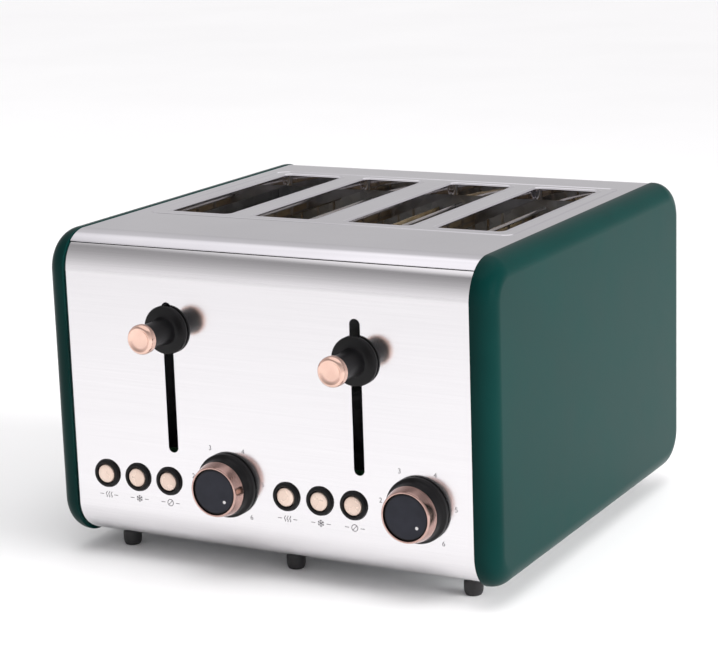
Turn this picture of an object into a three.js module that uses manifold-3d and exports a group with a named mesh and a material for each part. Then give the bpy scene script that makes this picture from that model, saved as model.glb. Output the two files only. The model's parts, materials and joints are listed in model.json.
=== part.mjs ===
// Four-slot pop-up toaster with two independent halves.
// Millimetres, +Z up, the front (levers and dials) faces -Y, +X to the right.
// The origin lies on the ground, under the centre of the overall box.

import * as THREE from 'three';
import { mergeVertices } from 'three/addons/utils/BufferGeometryUtils.js';
import Module from 'manifold-3d';

const wasm = await Module();
wasm.setup();

// ---------------------------------------------------------------- driving dimensions

const WIDTH = 300;                 // over the end covers
const DEPTH = 300;                 // over the end covers, front to rear
const TOP_Z = 205;                 // highest line of the end covers
const UNDER_Z = 11.5;              // underside of the end covers

const COVER_DEPTH = 13.8;          // end cover, along X
const COVER_CORNER = 24.5;         // its corner radius, seen from the side
const COVER_EDGE = 12.5;           // rounding of its outer edge
const COVER_WALL = 2.2;
const FIT = 0.3;                   // clearance between pieces that touch

const SHEET = 0.8;                 // steel sheet
const FACE_Y = DEPTH / 2 - 2;      // outer face of the front and rear panels
const PANEL_TOP_ROLL = 23;         // radius where the front turns into the top
const PANEL_LOW_ROLL = 22;         // radius where the front turns under
const PANEL_UNDER_Z = UNDER_Z + 2;
const ROLL_Y = FACE_Y - PANEL_TOP_ROLL;
const ROLL_Z = 181;
const LOW_ROLL_Y = FACE_Y - PANEL_LOW_ROLL;
const LOW_ROLL_Z = PANEL_UNDER_Z + PANEL_LOW_ROLL;
const PANEL_LIP_Y = 121;           // where the turned-under edge ends
const PANEL_HALF_X = WIDTH / 2 - COVER_DEPTH - FIT;
const SEAM_ANGLE = 48;             // seam of panel and top plate, degrees up the roll
const SEAM_GAP = 1;                // degrees
const TOP_ROLL = 23.6;             // the top plate lies 0.6 proud of the panels
const TOP_FACE_Z = ROLL_Z + TOP_ROLL;

const HALF_X = 63.5;               // centre of each half
const SLOT_X = 30.5;               // bread slot centres, either side of a half's centre
const SLOT_WIDTH = 44;
const SLOT_FRONT_Y = -60;
const SLOT_REAR_Y = 90;
const RIM = 2;                     // width of the raised rim round a slot
const RIM_RISE = 0.4;
const RIM_DROP = 8;
const GROOVE_HALF_X = 127;
const GROOVE_MARGIN = 10;          // from the slot ends to the pressed groove
const GROOVE_WIDTH = 2.2;

const LEVER_LOW_Z = 82;            // travel of the lever's centre
const LEVER_SLOT_LOW = 74.6;
const LEVER_SLOT_HIGH = 167.3;
const LEVER_SLOT_WIDTH = 6.8;
const LEVER_DISC_R = 14.75;
const LEVER_DISC_THICK = 3;
const LEVER_STEM_R = 7.8;
const LEVER_CAP_R = 9;
const LEVER_CAP_DEPTH = 5.5;
const LEVER_REACH = 30.5;            // from the panel's face to the tip of the cap
const ARM_THICK = 1.6;

const BUTTON_Z = 56.2;
const BUTTON_X = [-49.3, -26.8, -4.3];
const COLLAR_R = 8.65;
const COLLAR_RISE = 2.4;
const BUTTON_R = 5.8;
const BUTTON_RISE = 2.8;

const DIAL_X = 37.4;
const DIAL_Z = 58.8;
const DIAL_SKIRT_R = 19.6;
const DIAL_BODY_R = 16.9;          // where the conical ring sits on the knob
const DIAL_FACE_R = 14;
const DIAL_HEIGHT = 16.4;
const DIAL_RING_DEPTH = 7.4;

const BULKHEAD_FRONT_Y = -69.2;
const BULKHEAD_REAR_Y = 100;
const CHASSIS_LOW_Z = PANEL_UNDER_Z + SHEET + FIT;
const CHASSIS_TOP_Z = 201.8;
const SIDE_PLATE_X = 130;

const BOARD_X = [-59, 0, 59];      // heating boards of one half
const BOARD_THICK = 1;
const BOARD_LOW_Z = 52;
const BOARD_TOP_Z = 186;
const TAB_Z = [72, 166];
const TAB_HALF = 4;

const SLIDER_Y = -76;              // front face of the slider's plate
const RACK_DROP = 34;              // underside of the racks below the lever's centre
const RACK_TALL = 8;
const ROD_X = 14;
const ROD_Y = -84;
const ROD_R = 2.5;
const BUSH_R = 5;
const BUSH_LOW = -40;
const MAGNET_X = -22;

const GUIDE_GAP = 18;              // bread guide to slot centre at the lever's usual height
const GUIDE_PER_LIFT = 0.115;      // guide travel per millimetre of lever travel
const USUAL_LEVER_Z = 143;
const GUIDE_LOW_Z = 47;
const GUIDE_TOP_Z = 190;
const GUIDE_BAR_Z = 44;
const RAIL_R = 1.2;
const WIRE_R = 0.9;
const WIRE_COUNT = 7;

const TRAY_HALF_X = 54;
const TRAY_FRONT_Y = -64;
const TRAY_LOW_Z = 18.5;
const TRAY_TOP_Z = 28;
const TRAY_DOOR_HALF_X = 55.5;
const TRAY_DOOR_LOW_Z = 16.6;
const TRAY_DOOR_TOP_Z = 32.4;
const TRAY_PULL_Y = 153;           // tip of the finger pull

const FOOT_X = [-119.4, 0, 119.4];
const FOOT_Y = 116;
const FOOT_R = 5.8;
const CORD_Z = 64;

const FRONT_TIP_Y = -FACE_Y - LEVER_REACH;
const CENTRE_SHIFT = -(FRONT_TIP_Y + TRAY_PULL_Y) / 2;

// The left lever is held up by its last 8 mm of high lift; the right one stands at its usual height.
const SIDES = [
  { side: 'left', x: -HALF_X, leverZ: 150.8 },
  { side: 'right', x: HALF_X, leverZ: 142.9 },
];

// ---------------------------------------------------------------- materials

const finish = (color, roughness, metalness) =>
  new THREE.MeshStandardMaterial({ color, roughness, metalness });

const BRUSHED_STEEL = finish(0xd9d6d8, 0.28, 1);
const POLISHED_STEEL = finish(0xe6e6ea, 0.08, 1);
const GREEN_PAINT = finish(0x1f4442, 0.22, 0);
const ROSE_GOLD = finish(0xd9a187, 0.2, 1);
const BLACK_PLASTIC = finish(0x141416, 0.4, 0);
const CREAM_PLASTIC = finish(0xf0dccb, 0.35, 0);
const RUBBER = finish(0x101011, 0.8, 0);
const GALVANISED = finish(0xb4b7b8, 0.45, 1);
const MICA = finish(0xb9a078, 0.6, 0);
const SPRING_STEEL = finish(0x8f9092, 0.3, 1);
const BOARD_GREEN = finish(0x2c5a33, 0.5, 0);
const COIL_COPPER = finish(0xa8643a, 0.4, 0.8);

// ---------------------------------------------------------------- solids

function solid(geometry) {
  geometry.deleteAttribute('normal');
  geometry.deleteAttribute('uv');
  const merged = mergeVertices(geometry, 1e-4);
  const mesh = new wasm.Mesh({
    numProp: 3,
    vertProperties: new Float32Array(merged.attributes.position.array),
    triVerts: new Uint32Array(merged.index.array),
  });
  return new wasm.Manifold(mesh);
}

function geometryOf(body) {
  const mesh = body.getMesh();
  const geometry = new THREE.BufferGeometry();
  geometry.setAttribute('position', new THREE.BufferAttribute(mesh.vertProperties, 3));
  geometry.setIndex(new THREE.BufferAttribute(mesh.triVerts, 1));
  geometry.computeVertexNormals();
  return geometry;
}

const join = (first, ...others) => others.reduce((body, other) => body.add(other), first);
const cut = (body, ...tools) => tools.reduce((rest, tool) => rest.subtract(tool), body);

function piece(name, body, material) {
  const mesh = new THREE.Mesh(geometryOf(body), material);
  mesh.name = name;
  return mesh;
}

function box([x0, x1], [y0, y1], [z0, z1]) {
  const geometry = new THREE.BoxGeometry(x1 - x0, y1 - y0, z1 - z0);
  geometry.translate((x0 + x1) / 2, (y0 + y1) / 2, (z0 + z1) / 2);
  return solid(geometry);
}

// A bar along one axis ('x', 'y' or 'z') from one end to the other, centred on the other two.
function bar(axis, radius, [from, to], [u, v], sides = 12) {
  const geometry = new THREE.CylinderGeometry(radius, radius, to - from, sides);
  const middle = (from + to) / 2;
  if (axis === 'x') geometry.rotateZ(-Math.PI / 2).translate(middle, u, v);
  if (axis === 'y') geometry.translate(u, middle, v);
  if (axis === 'z') geometry.rotateX(Math.PI / 2).translate(u, v, middle);
  return solid(geometry);
}

// A turned solid about Y, from [radius, y] points listed with y rising.
function turned(points, segments = 24) {
  const profile = points.map(([r, y]) => new THREE.Vector2(r, y));
  return solid(new THREE.LatheGeometry(profile, segments));
}

const standing = (body) => body.rotate([90, 0, 0]);

function outline(points) {
  return new THREE.Shape(points.map(([u, v]) => new THREE.Vector2(u, v)));
}

function roundedRect([u0, u1], [v0, v1], r) {
  const shape = new THREE.Shape();
  shape.absarc(u1 - r, v1 - r, r, 0, Math.PI / 2);
  shape.absarc(u0 + r, v1 - r, r, Math.PI / 2, Math.PI);
  shape.absarc(u0 + r, v0 + r, r, Math.PI, 1.5 * Math.PI);
  shape.absarc(u1 - r, v0 + r, r, 1.5 * Math.PI, 2 * Math.PI);
  return shape;
}

const extrusion = (shape, depth, options = {}) =>
  new THREE.ExtrudeGeometry(shape, { depth, bevelEnabled: false, curveSegments: 2, ...options });

// Outlines drawn in (Y, Z) and run along X, drawn in (X, Z) and run along Y, drawn in (X, Y) and run up.
const ALONG_X = new THREE.Matrix4().makeBasis(
  new THREE.Vector3(0, 1, 0), new THREE.Vector3(0, 0, 1), new THREE.Vector3(1, 0, 0));
const ALONG_MINUS_Y = new THREE.Matrix4().makeBasis(
  new THREE.Vector3(1, 0, 0), new THREE.Vector3(0, 0, 1), new THREE.Vector3(0, -1, 0));

const alongX = (shape, [x0, x1]) =>
  solid(extrusion(shape, x1 - x0).applyMatrix4(ALONG_X).translate(x0, 0, 0));
const alongY = (shape, [y0, y1]) =>
  solid(extrusion(shape, y1 - y0).applyMatrix4(ALONG_MINUS_Y).translate(0, y1, 0));
const upZ = (shape, [z0, z1]) => solid(extrusion(shape, z1 - z0).translate(0, 0, z0));

function arc([u, v], radius, from, to, steps) {
  return Array.from({ length: steps + 1 }, (_, i) => {
    const angle = THREE.MathUtils.degToRad(from + (to - from) * i / steps);
    return [u + radius * Math.cos(angle), v + radius * Math.sin(angle)];
  });
}

// ---------------------------------------------------------------- casing

// The front panel's line from the seam, over the top roll, down the face and under, `inset` inside it.
function panelLine(inset) {
  return [
    ...arc([-ROLL_Y, ROLL_Z], PANEL_TOP_ROLL - inset, 180 - SEAM_ANGLE, 180, 8),
    ...arc([-LOW_ROLL_Y, LOW_ROLL_Z], PANEL_LOW_ROLL - inset, 180, 270, 8),
    [-PANEL_LIP_Y, PANEL_UNDER_Z + inset],
  ];
}

function panelSheet() {
  const line = outline([...panelLine(0), ...panelLine(SHEET).reverse()]);
  return alongX(line, [-PANEL_HALF_X, PANEL_HALF_X]);
}

const SHEET_CUT_Y = [-FACE_Y - 1, -FACE_Y + SHEET + 1];

function frontPanel() {
  const r = LEVER_SLOT_WIDTH / 2;
  const tools = SIDES.flatMap(({ x }) => [
    alongY(roundedRect([x - r, x + r], [LEVER_SLOT_LOW, LEVER_SLOT_HIGH], r), SHEET_CUT_Y),
    bar('y', 4, SHEET_CUT_Y, [x + DIAL_X, DIAL_Z]),
    ...BUTTON_X.map((dx) => bar('y', COLLAR_R + FIT, SHEET_CUT_Y, [x + dx, BUTTON_Z], 20)),
  ]);
  return piece('front_panel', cut(panelSheet(), ...tools), BRUSHED_STEEL);
}

function trayOpening(x) {
  return box([x - TRAY_DOOR_HALF_X - 0.5, x + TRAY_DOOR_HALF_X + 0.5], [PANEL_LIP_Y + 1, FACE_Y + 1],
    [TRAY_DOOR_LOW_Z - 0.5, TRAY_DOOR_TOP_Z + 0.5]);
}

function rearPanel() {
  const cordHole = bar('y', 6.3, [FACE_Y - SHEET - 1, FACE_Y + 1], [0, CORD_Z], 20);
  const sheet = panelSheet().rotate([0, 0, 180]);
  const tools = SIDES.map(({ x }) => trayOpening(x));
  return piece('rear_panel', cut(sheet, cordHole, ...tools), BRUSHED_STEEL);
}

function topLine(inset) {
  const from = 180 - SEAM_ANGLE - SEAM_GAP;
  return [
    ...arc([-ROLL_Y, ROLL_Z], TOP_ROLL - inset, from, 90, 5),
    ...arc([ROLL_Y, ROLL_Z], TOP_ROLL - inset, 90, 180 - from, 5),
  ];
}

function ring(outer, inner, zRange) {
  outer.holes.push(inner);
  return upZ(outer, zRange);
}

function slotRim(x) {
  const half = SLOT_WIDTH / 2;
  const outer = roundedRect([x - half - RIM, x + half + RIM], [SLOT_FRONT_Y - RIM, SLOT_REAR_Y + RIM], 6);
  const inner = roundedRect([x - half, x + half], [SLOT_FRONT_Y, SLOT_REAR_Y], 4);
  return ring(outer, inner, [TOP_FACE_Z - RIM_DROP, TOP_FACE_Z + RIM_RISE]);
}

function slotHole(x) {
  const half = SLOT_WIDTH / 2 + RIM / 2;
  return upZ(roundedRect([x - half, x + half], [SLOT_FRONT_Y - RIM / 2, SLOT_REAR_Y + RIM / 2], 5),
    [TOP_FACE_Z - 3, TOP_FACE_Z + 1]);
}

function grooveRing(spread, zRange) {
  const y0 = SLOT_FRONT_Y - GROOVE_MARGIN;
  const y1 = SLOT_REAR_Y + GROOVE_MARGIN;
  const edge = (grow, r) =>
    roundedRect([-GROOVE_HALF_X - grow, GROOVE_HALF_X + grow], [y0 - grow, y1 + grow], r);
  return ring(edge(spread, 8 + spread), edge(-GROOVE_WIDTH - spread, 8 - spread), zRange);
}

const SLOT_CENTRES = SIDES.flatMap(({ x }) => [x - SLOT_X, x + SLOT_X]);

function topPlate() {
  const sheet = alongX(outline([...topLine(0), ...topLine(SHEET).reverse()]), [-PANEL_HALF_X, PANEL_HALF_X]);
  const underGroove = grooveRing(1.2, [TOP_FACE_Z - SHEET - 1, TOP_FACE_Z - SHEET + 0.2]);
  const groove = grooveRing(0, [TOP_FACE_Z - 1, TOP_FACE_Z + 1]);
  const plate = cut(join(sheet, underGroove), groove, ...SLOT_CENTRES.map(slotHole));
  return piece('top_plate', join(plate, ...SLOT_CENTRES.map(slotRim)), POLISHED_STEEL);
}

// A rounded slab as tall and deep as the end cover less `inset`, its outer edge rounded over.
function coverSlab(inset, x1) {
  const edge = COVER_EDGE - inset;
  const half = DEPTH / 2 - inset - edge;
  const shape = roundedRect([-half, half], [UNDER_Z + inset + edge, TOP_Z - inset - edge],
    COVER_CORNER - COVER_EDGE);
  const bevel = {
    bevelEnabled: true, bevelThickness: edge, bevelSize: edge, bevelSegments: 4, curveSegments: 3,
  };
  const geometry = extrusion(shape, COVER_DEPTH, bevel).applyMatrix4(ALONG_X);
  return solid(geometry.translate(x1 - edge - COVER_DEPTH, 0, 0));
}

function endCover(side) {
  const outerX = WIDTH / 2;
  const rimX = outerX - COVER_DEPTH;
  const inward = box([rimX - 60, rimX], [-DEPTH, DEPTH], [-10, TOP_Z + 50]);
  const shell = cut(coverSlab(0, outerX), coverSlab(COVER_WALL, outerX - COVER_WALL), inward);
  const bosses = [-95, 95].flatMap((y) => [50, 165].map((z) =>
    bar('x', 4, [SIDE_PLATE_X + 1 + FIT, outerX - COVER_WALL / 2], [y, z], 8)));
  const cover = join(shell, ...bosses);
  return piece(side + '_end_cover', side === 'left' ? cover.rotate([0, 0, 180]) : cover, GREEN_PAINT);
}

// ---------------------------------------------------------------- base, feet and rear fittings

function basePlate() {
  const plate = box([-PANEL_HALF_X, PANEL_HALF_X], [-PANEL_LIP_Y + 0.5, PANEL_LIP_Y - 0.5],
    [PANEL_UNDER_Z, PANEL_UNDER_Z + SHEET]);
  const rails = SIDES.flatMap(({ x }) => [-50, 50].map((dx) =>
    box([x + dx - 2, x + dx + 2], [TRAY_FRONT_Y, 98], [PANEL_UNDER_Z + 0.5, TRAY_LOW_Z - FIT])));
  const vents = SIDES.flatMap(({ x }) => [-30, 15, 60].map((y) =>
    box([x - 36, x + 36], [y - 2.5, y + 2.5], [PANEL_UNDER_Z - 1, PANEL_UNDER_Z + SHEET + 1])));
  const holes = [-FOOT_Y, FOOT_Y].flatMap((y) => FOOT_X.map((x) =>
    bar('z', 2.7, [PANEL_UNDER_Z - 1, PANEL_UNDER_Z + SHEET + 1], [x, y], 12)));
  const rodHoles = SIDES.map(({ x }) =>
    bar('z', ROD_R + FIT, [PANEL_UNDER_Z - 1, PANEL_UNDER_Z + SHEET + 1], [x + ROD_X, ROD_Y], 12));
  return piece('base_plate', cut(join(plate, ...rails), ...vents, ...holes, ...rodHoles), GALVANISED);
}

// Push-in rubber foot: flat sole, bulging body, neck through the base plate, head above it.
function foot(name, x, y) {
  const top = PANEL_UNDER_Z + SHEET;
  const shoulder = PANEL_UNDER_Z - FIT;
  const profile = [[0, 0], [4.4, 0], [FOOT_R, 3], [FOOT_R, 9], [2.4, shoulder], [2.4, top + FIT],
    [3.6, top + FIT], [0, top + 3]];
  const mesh = piece(name, standing(turned(profile, 12)), RUBBER);
  mesh.position.set(x, y, 0);
  return mesh;
}

function feet() {
  const rows = [['front', -FOOT_Y], ['rear', FOOT_Y]];
  const columns = ['left', 'middle', 'right'];
  return rows.flatMap(([row, y]) => columns.map((column, i) =>
    foot(`${row}_${column}_foot`, FOOT_X[i], y)));
}

function cordInlet() {
  const y = FACE_Y;
  const bore = [[3.6, y - 8], [6, y - 8], [8, y - 6], [8, y - SHEET - FIT], [6, y - SHEET - FIT],
    [6, y + FIT], [9, y + FIT], [9, y + 2], [7.4, y + 4], [3.6, y + 4], [3.6, y - 8]];
  const mesh = piece('cord_inlet', turned(bore, 16), BLACK_PLASTIC);
  mesh.position.z = CORD_Z;
  return mesh;
}

// Three-way block on the back of the rear bulkhead, above the cord inlet.
function terminalBlock() {
  const y = BULKHEAD_REAR_Y + SHEET + FIT;
  const z = CORD_Z + 28;
  const block = box([-16, 16], [y + 2, y + 14], [z - 9, z + 9]);
  const screws = [-10, 0, 10].map((x) => bar('y', 2.6, [y + 13, y + 15.5], [x, z], 8));
  const flange = box([-21, 21], [y, y + 2.5], [z - 6, z + 6]);
  return piece('mains_terminal_block', join(block, flange, ...screws), CREAM_PLASTIC);
}

// ---------------------------------------------------------------- chassis

const tabSlots = (x, yRange) => TAB_Z.map((z) =>
  box([x - BOARD_THICK / 2 - FIT, x + BOARD_THICK / 2 + FIT], yRange,
    [z - TAB_HALF - FIT, z + TAB_HALF + FIT]));

// The slot in a bulkhead that a bread guide's rail slides along; direction +1 or -1 closes on the bread.
function railSlot(slotX, direction, yRange) {
  const ends = [slotX - direction * 22, slotX - direction * 9].sort((a, b) => a - b);
  return box(ends, yRange, [GUIDE_LOW_Z - RAIL_R - 0.4, GUIDE_LOW_Z + RAIL_R + 0.4]);
}

function bulkheadCuts(yRange) {
  const boards = SIDES.flatMap(({ x }) => BOARD_X.flatMap((dx) => tabSlots(x + dx, yRange)));
  const rails = SLOT_CENTRES.flatMap((x) => [railSlot(x, 1, yRange), railSlot(x, -1, yRange)]);
  return [...boards, ...rails];
}

function bulkheadSheet(y) {
  const x = SIDE_PLATE_X - FIT;
  return box([-x, x], [y, y + SHEET], [CHASSIS_LOW_Z, CHASSIS_TOP_Z]);
}

function frontBulkhead() {
  const y = BULKHEAD_FRONT_Y;
  const yRange = [y - 1, y + SHEET + 1];
  const rackSlots = SLOT_CENTRES.map((x) => box([x - 2.5, x + 2.5], yRange, [45, 137]));
  const brackets = SIDES.map(({ x }) => cut(
    box([x + ROD_X - 12, x + ROD_X + 12], [ROD_Y - 8, y + 0.5], [184, 185.2]),
    bar('z', ROD_R + FIT, [183, 186], [x + ROD_X, ROD_Y], 12)));
  const sheet = cut(bulkheadSheet(y), ...rackSlots, ...bulkheadCuts(yRange));
  return piece('front_bulkhead', join(sheet, ...brackets), GALVANISED);
}

function rearBulkhead() {
  const y = BULKHEAD_REAR_Y;
  const yRange = [y - 1, y + SHEET + 1];
  const trays = SIDES.map(({ x }) =>
    box([x - TRAY_HALF_X - 2, x + TRAY_HALF_X + 2], yRange, [CHASSIS_LOW_Z - 1, TRAY_TOP_Z + 3]));
  return piece('rear_bulkhead', cut(bulkheadSheet(y), ...trays, ...bulkheadCuts(yRange)), GALVANISED);
}

function sidePlate(side, sign) {
  const inner = sign * SIDE_PLATE_X;
  const xRange = [inner, inner + sign].sort((a, b) => a - b);
  return piece(side + '_side_plate', box(xRange, [-118, 118], [CHASSIS_LOW_Z, 198]), GALVANISED);
}

function heatingBoard(name, x) {
  const y0 = BULKHEAD_FRONT_Y + SHEET + FIT;
  const y1 = BULKHEAD_REAR_Y - FIT;
  const sheet = box([-BOARD_THICK / 2, BOARD_THICK / 2], [y0, y1], [BOARD_LOW_Z, BOARD_TOP_Z]);
  const tabs = TAB_Z.map((z) =>
    box([-BOARD_THICK / 2, BOARD_THICK / 2], [y0 - 3.5, y1 + 3.5], [z - TAB_HALF, z + TAB_HALF]));
  const mesh = piece(name, join(sheet, ...tabs), MICA);
  mesh.position.x = x;
  return mesh;
}

// ---------------------------------------------------------------- carriage, in the lever centre's frame

function leverHandle(side) {
  const y = -FACE_Y;
  const tip = y - LEVER_REACH + LEVER_CAP_DEPTH;
  const back = y - 0.6;
  const front = back - LEVER_DISC_THICK;
  const profile = [[0, tip], [LEVER_STEM_R, tip], [LEVER_STEM_R, front - 1], [LEVER_DISC_R - 1.5, front],
    [LEVER_DISC_R, front + 1], [LEVER_DISC_R, back], [0, back]];
  const tab = box([-2.3, 2.3], [back - 1, y + 9], [-6, 6]);
  const slit = box([-ARM_THICK / 2 - FIT, ARM_THICK / 2 + FIT], [y + 1, y + 10], [-4 - FIT, 4 + FIT]);
  return piece(side + '_lever_handle', cut(join(turned(profile), tab), slit), BLACK_PLASTIC);
}

// Round cap on the handle's tip, with a slightly dished face.
function leverCap(side) {
  const tip = -FACE_Y - LEVER_REACH;
  const back = tip + LEVER_CAP_DEPTH - FIT;
  const profile = [[0, tip + 0.9], [LEVER_CAP_R - 2.4, tip + 0.5], [LEVER_CAP_R - 1, tip],
    [LEVER_CAP_R, tip + 1], [LEVER_CAP_R, back], [0, back]];
  return piece(side + '_lever_cap', turned(profile), ROSE_GOLD);
}

// Sheet-metal slider: beam behind both racks, column, arm to the handle, bush tube and magnet keeper.
function liftSlider(side) {
  const plateY = [SLIDER_Y, SLIDER_Y + ARM_THICK];
  const beam = box([-SLOT_X - 4, SLOT_X + 4], plateY, [-38, -22]);
  const column = box([-6, ROD_X + 7], plateY, [-38, 6]);
  const arm = box([-ARM_THICK / 2, ARM_THICK / 2], [-FACE_Y + 1 + FIT, SLIDER_Y + 0.5], [-4, 4]);
  const web = box([ROD_X - 2, ROD_X + 2], [ROD_Y + BUSH_R - 1, SLIDER_Y + 0.5], [BUSH_LOW + 3, -5]);
  const bush = bar('z', BUSH_R, [BUSH_LOW, -4], [ROD_X, ROD_Y]);
  const keeper = box([MAGNET_X - 11, MAGNET_X + 11], [ROD_Y - 8, SLIDER_Y + 0.5], [-38, -36.4]);
  const bore = bar('z', ROD_R + FIT, [BUSH_LOW - 1, -3], [ROD_X, ROD_Y]);
  const body = cut(join(beam, column, arm, web, bush, keeper), bore);
  return piece(side + '_lift_slider', body, GALVANISED);
}

// Bread rack: an upright strip with cross fingers turned up at their tips.
function breadRack(name, x) {
  const z0 = -RACK_DROP;
  const z1 = z0 + RACK_TALL;
  const strip = box([-ARM_THICK / 2, ARM_THICK / 2], [SLIDER_Y + ARM_THICK + FIT, 88], [z0, z1]);
  const finger = outline([[-14, z1 + 3], [-14, z1 - 2.6], [14, z1 - 2.6], [14, z1 + 3], [12.4, z1 + 3],
    [12.4, z1 - 0.8], [-12.4, z1 - 0.8], [-12.4, z1 + 3]]);
  const fingers = [-42, -20, 2, 24, 46, 68].map((y) => alongY(finger, [y - 1.2, y + 1.2]));
  const mesh = piece(name, join(strip, ...fingers), GALVANISED);
  mesh.position.x = x;
  return mesh;
}

function carriage({ side, leverZ }) {
  const group = new THREE.Group();
  group.position.z = leverZ;
  group.add(leverHandle(side), leverCap(side), liftSlider(side));
  group.add(breadRack(side + '_outer_bread_rack', side === 'left' ? -SLOT_X : SLOT_X));
  group.add(breadRack(side + '_inner_bread_rack', side === 'left' ? SLOT_X : -SLOT_X));
  return group;
}

// ---------------------------------------------------------------- lift, latch and bread guides

function guideRod(side) {
  const rod = bar('z', ROD_R, [PANEL_UNDER_Z + 0.2, 188], [ROD_X, ROD_Y], 12);
  return piece(side + '_guide_rod', rod, POLISHED_STEEL);
}

class Helix extends THREE.Curve {
  constructor(radius, turns, low, high) {
    super();
    Object.assign(this, { radius, turns, low, high });
  }

  getPoint(t, target = new THREE.Vector3()) {
    const angle = 2 * Math.PI * this.turns * t;
    const z = this.low + (this.high - this.low) * t;
    return target.set(this.radius * Math.cos(angle), this.radius * Math.sin(angle), z);
  }
}

function liftSpring(side, leverZ) {
  const wire = 0.7;
  const low = CHASSIS_LOW_Z + wire;
  const high = leverZ + BUSH_LOW - FIT - wire;
  const turns = 7;
  const section = new THREE.Shape().absarc(0, 0, wire, 0, 2 * Math.PI);
  const extrudePath = new Helix(ROD_R + 1.9, turns, low, high);
  const geometry = extrusion(section, 1, { steps: turns * 8, extrudePath });
  const mesh = piece(side + '_lift_spring', solid(geometry), SPRING_STEEL);
  mesh.position.set(ROD_X, ROD_Y, 0);
  return mesh;
}

// Bobbin and core that hold the slider's keeper when the lever is down.
function latchMagnet(side) {
  const top = LEVER_LOW_Z - 38 - 0.6;
  const base = CHASSIS_LOW_Z;
  const profile = [[0, base], [9, base], [9, base + 3], [6.4, base + 3], [6.4, top - 6], [9, top - 6],
    [9, top - 4], [3.5, top - 4], [3.5, top], [0, top]];
  const mesh = piece(side + '_latch_magnet', standing(turned(profile, 12)), COIL_COPPER);
  mesh.position.set(MAGNET_X, ROD_Y, 0);
  return mesh;
}

// One grid: lower and upper rail along the slot with upright wires between them.
function guideGrid(x, reachFront, reachRear) {
  const low = bar('y', RAIL_R, [BULKHEAD_FRONT_Y - 3, BULKHEAD_REAR_Y + SHEET + 3], [x, GUIDE_LOW_Z], 6);
  const high = bar('y', RAIL_R, [reachFront, reachRear], [x, GUIDE_TOP_Z], 6);
  const pitch = (SLOT_REAR_Y - SLOT_FRONT_Y - 18) / (WIRE_COUNT - 1);
  const wires = Array.from({ length: WIRE_COUNT }, (_, i) =>
    bar('z', WIRE_R, [GUIDE_LOW_Z, GUIDE_TOP_Z], [x, SLOT_FRONT_Y + 9 + i * pitch], 4));
  const drops = [reachFront, reachRear].map((y) =>
    bar('z', WIRE_R, [GUIDE_BAR_Z - WIRE_R, GUIDE_LOW_Z], [x, y], 4));
  return join(low, high, ...wires, ...drops);
}

// The two grids of one half that move together, tied by cross bars under the heating boards.
function breadGuide(name, direction, leverZ) {
  const gap = GUIDE_GAP + GUIDE_PER_LIFT * (leverZ - USUAL_LEVER_Z);
  const reachFront = direction > 0 ? SLOT_FRONT_Y - 2 : SLOT_FRONT_Y + 2;
  const reachRear = direction > 0 ? SLOT_REAR_Y + 4 : SLOT_REAR_Y;
  const xs = [-SLOT_X - direction * gap, SLOT_X - direction * gap];
  const grids = xs.map((x) => guideGrid(x, reachFront, reachRear));
  const bars = [reachFront, reachRear].map((y) =>
    bar('x', WIRE_R, [xs[0] - WIRE_R, xs[1] + WIRE_R], [y, GUIDE_BAR_Z], 4));
  return piece(name, join(...grids, ...bars), SPRING_STEEL);
}

// ---------------------------------------------------------------- controls

function buttonFrame(side) {
  const y = -FACE_Y;
  const plate = box([BUTTON_X[0] - 11, BUTTON_X[2] + 11], [y + SHEET + FIT, y + SHEET + FIT + 1.8],
    [BUTTON_Z - 11, BUTTON_Z + 11]);
  const collars = BUTTON_X.map((x) =>
    bar('y', COLLAR_R, [y - COLLAR_RISE, y + SHEET + FIT + 0.5], [x, BUTTON_Z], 20));
  const bores = BUTTON_X.map((x) => bar('y', BUTTON_R + FIT, [y - 3, y + 6], [x, BUTTON_Z], 16));
  return piece(side + '_button_frame', cut(join(plate, ...collars), ...bores), BLACK_PLASTIC);
}

function button(name, x) {
  const y = -FACE_Y;
  const seat = y + SHEET + FIT + 1.8 + FIT;
  const profile = [[0, y - BUTTON_RISE], [BUTTON_R - 1.2, y - BUTTON_RISE],
    [BUTTON_R, y - BUTTON_RISE + 1.2], [BUTTON_R, seat], [7.4, seat], [6, y + 7], [0, y + 7]];
  const mesh = piece(name, turned(profile, 16), CREAM_PLASTIC);
  mesh.position.set(x, 0, BUTTON_Z);
  return mesh;
}

// Black knob: wide skirt, tapering body and a face that stands inside the ring.
function dialKnob(side) {
  const y = -FACE_Y - 0.4;
  const face = y - DIAL_HEIGHT + 1;
  const shoulder = y - DIAL_HEIGHT + DIAL_RING_DEPTH;
  const spigot = DIAL_FACE_R - FIT;
  const profile = [[0, face], [spigot, face], [spigot, shoulder], [DIAL_BODY_R, shoulder],
    [DIAL_SKIRT_R - 2.4, y - 4.6], [DIAL_SKIRT_R - 0.6, y - 4], [DIAL_SKIRT_R, y - 3], [DIAL_SKIRT_R, y],
    [3.3, y], [3.3, y - 10], [0, y - 10]];
  const mesh = piece(side + '_dial_knob', turned(profile), BLACK_PLASTIC);
  mesh.position.set(DIAL_X, 0, DIAL_Z);
  return mesh;
}

// Conical metal ring that narrows towards the dial's face.
function dialRing(side) {
  const front = -FACE_Y - 0.4 - DIAL_HEIGHT;
  const back = front + DIAL_RING_DEPTH - FIT;
  const profile = [[DIAL_FACE_R, front + 0.4], [DIAL_FACE_R + 0.6, front], [DIAL_FACE_R + 1.2, front + 0.5],
    [DIAL_BODY_R - 0.1, back - 0.6], [DIAL_BODY_R - 0.3, back], [DIAL_FACE_R, back],
    [DIAL_FACE_R, front + 0.4]];
  const mesh = piece(side + '_dial_ring', turned(profile), ROSE_GOLD);
  mesh.position.set(DIAL_X, 0, DIAL_Z);
  return mesh;
}

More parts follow.
